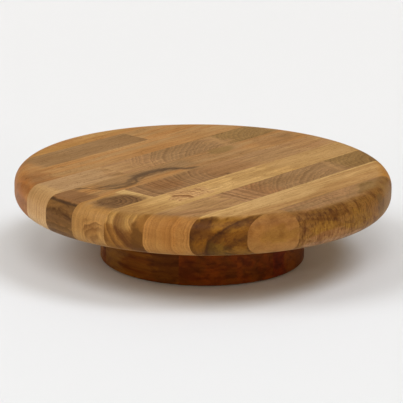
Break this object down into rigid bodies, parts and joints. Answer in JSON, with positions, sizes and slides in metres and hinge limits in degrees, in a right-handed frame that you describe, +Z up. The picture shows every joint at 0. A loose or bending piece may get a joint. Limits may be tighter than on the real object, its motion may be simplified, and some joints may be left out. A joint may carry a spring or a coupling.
{
  "type": "turntable stand",
  "caption": "Round butcher-block turntable with a bullnose edge, spinning freely on a flat ball swivel above a smaller round wooden base.",
  "frame": {"origin": "on the floor under the middle of the base, on the spin axis", "axes": "+Z up along the spin axis; the staves of the top run along Y at the rest pose, and those of the base along X"},
  "size_m": [0.3, 0.3, 0.074],
  "materials": {
    "orange_wood": "oiled hardwood, orange-tan, straight grain",
    "grey_wood": "oiled hardwood, grey-brown with a rippled figure",
    "golden_wood": "oiled hardwood, golden, straight grain",
    "tan_wood": "oiled hardwood, light tan",
    "umber_wood": "oiled hardwood, dark brown heartwood",
    "brown_wood": "oiled hardwood, brown growth rings",
    "streaked_wood": "oiled hardwood, tan with a dark streak",
    "base_wood": "dark red-brown stained hardwood, satin",
    "zinc_steel": "zinc-plated pressed steel",
    "ball_steel": "polished steel",
    "screw_steel": "zinc-plated steel",
    "nylon": "natural nylon",
    "foot_rubber": "matt black rubber"
  },
  "bodies": {
    "base": {"base_stave_1": "base_wood", "base_stave_2": "base_wood", "base_stave_3": "base_wood", "base_stave_4": "base_wood", "base_stave_5": "base_wood", "base_stave_6": "base_wood", "rubber_foot_1": "foot_rubber", "rubber_foot_2": "foot_rubber", "rubber_foot_3": "foot_rubber", "rubber_foot_4": "foot_rubber", "bearing_lower_plate": "zinc_steel", "base_screws": "screw_steel"},
    "ball_ring": {"ball_retainer": "nylon", "bearing_balls": "ball_steel"},
    "top": {"stave_01_front": "orange_wood", "stave_01_rear": "grey_wood", "stave_02": "golden_wood", "stave_03_front": "tan_wood", "stave_03_rear": "grey_wood", "stave_04": "golden_wood", "stave_05_front": "umber_wood", "stave_05_rear": "brown_wood", "stave_06": "streaked_wood", "stave_07_front": "tan_wood", "stave_07_rear": "grey_wood", "stave_08": "orange_wood", "stave_09_front": "umber_wood", "stave_09_rear": "orange_wood", "stave_10": "golden_wood", "bearing_upper_plate": "zinc_steel", "top_screws": "screw_steel"}
  },
  "joints": [
    {"name": "turntable_spin", "type": "hinge", "parent": "base", "child": "top", "pos_m": [0, 0, 0.04], "axis": [0, 0, 1], "continuous": true},
    {"name": "ball_ring_spin", "type": "hinge", "parent": "base", "child": "ball_ring", "pos_m": [0, 0, 0.04], "axis": [0, 0, 1], "continuous": true}
  ],
  "couplings": [
    {"joint": "ball_ring_spin", "follows": "turntable_spin", "ratio": 0.5}
  ]
}
